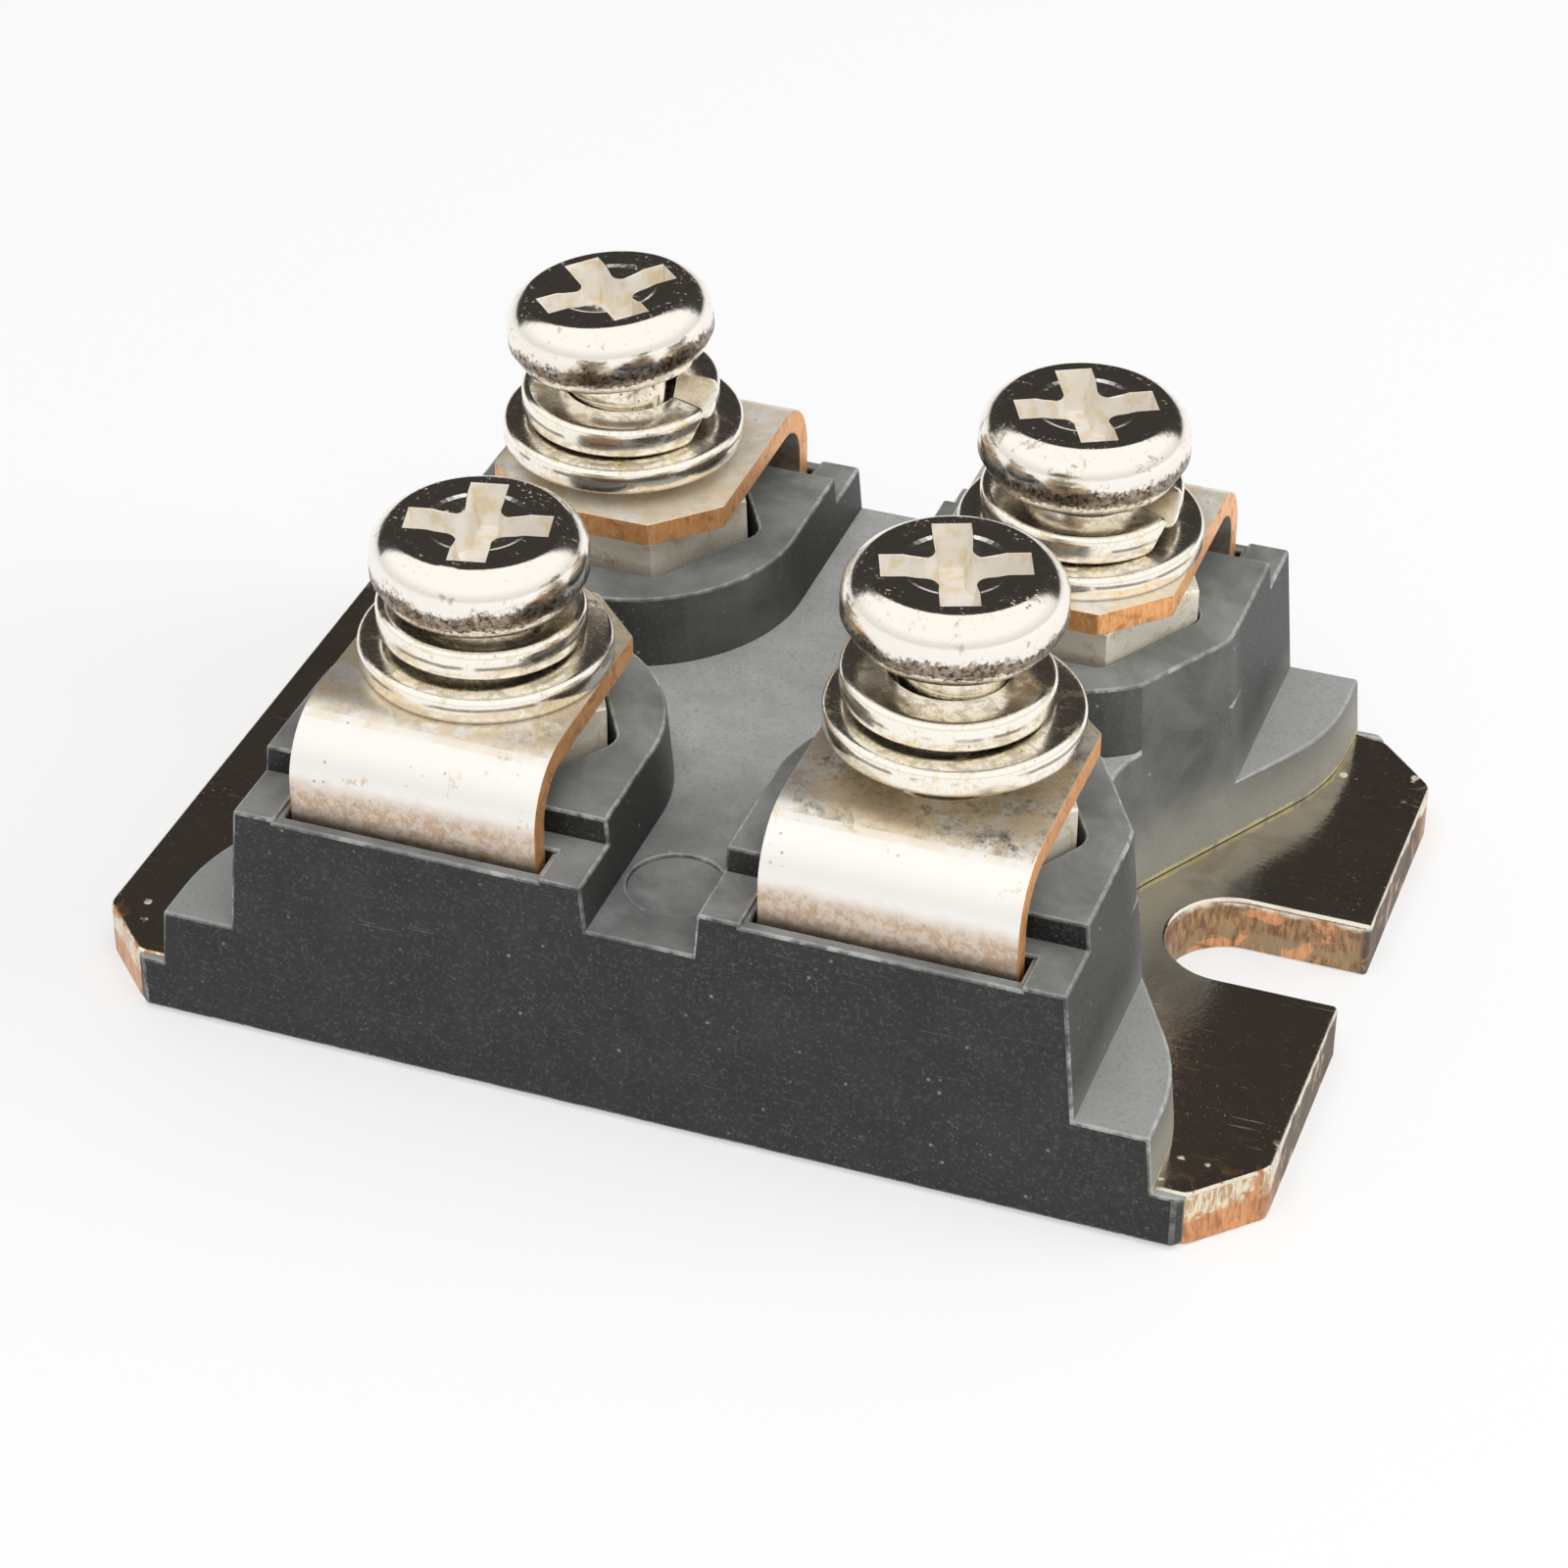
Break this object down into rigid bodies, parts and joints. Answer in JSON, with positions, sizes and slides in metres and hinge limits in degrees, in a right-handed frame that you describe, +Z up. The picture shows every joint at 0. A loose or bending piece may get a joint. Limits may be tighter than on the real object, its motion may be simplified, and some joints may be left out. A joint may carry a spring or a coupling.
{
  "type": "power diode module",
  "caption": "Flat isolated power diode module with screw terminals on raised pedestals, a metal base plate, a mounting hole at one end and an open mounting slot at the other.",
  "frame": {"origin": "middle of the underside of the base plate", "axes": "+X along the plate towards the open slot, -Y is the long side that faces the viewer, +Z up through the terminal screws"},
  "size_m": [0.0382, 0.0254, 0.0182],
  "materials": {
    "plated_copper": "worn nickel plate over copper",
    "plated_copper_strip": "bright nickel plate, cut edges bare copper",
    "plated_steel": "bright plated steel with fine turning marks",
    "black_moulding": "dark grey moulded plastic, worn pale on the edges",
    "bare_copper": "bare copper foil",
    "white_ceramic": "fired ceramic",
    "chip_silicon": "metallised silicon",
    "bond_aluminium": "bright aluminium wire",
    "soft_gel": "clear soft potting"
  },
  "bodies": {
    "root": {"anode_foil_left": "bare_copper", "anode_foil_right": "bare_copper", "base_plate": "plated_copper", "bond_wires_left": "bond_aluminium", "bond_wires_right": "bond_aluminium", "cathode_foil_left": "bare_copper", "cathode_foil_right": "bare_copper", "diode_chip_left": "chip_silicon", "diode_chip_right": "chip_silicon", "flat_washer_back_left": "plated_steel", "flat_washer_back_right": "plated_steel", "flat_washer_front_left": "plated_steel", "flat_washer_front_right": "plated_steel", "housing": "black_moulding", "lock_washer_back_left": "plated_steel", "lock_washer_back_right": "plated_steel", "lock_washer_front_left": "plated_steel", "lock_washer_front_right": "plated_steel", "nut_back_left": "plated_steel", "nut_back_right": "plated_steel", "nut_front_left": "plated_steel", "nut_front_right": "plated_steel", "potting_gel": "soft_gel", "screw_back_left": "plated_steel", "screw_back_right": "plated_steel", "screw_front_left": "plated_steel", "screw_front_right": "plated_steel", "substrate_back_foil": "bare_copper", "substrate_ceramic": "white_ceramic", "terminal_back_left": "plated_copper_strip", "terminal_back_right": "plated_copper_strip", "terminal_front_left": "plated_copper_strip", "terminal_front_right": "plated_copper_strip"}
  },
  "joints": []
}
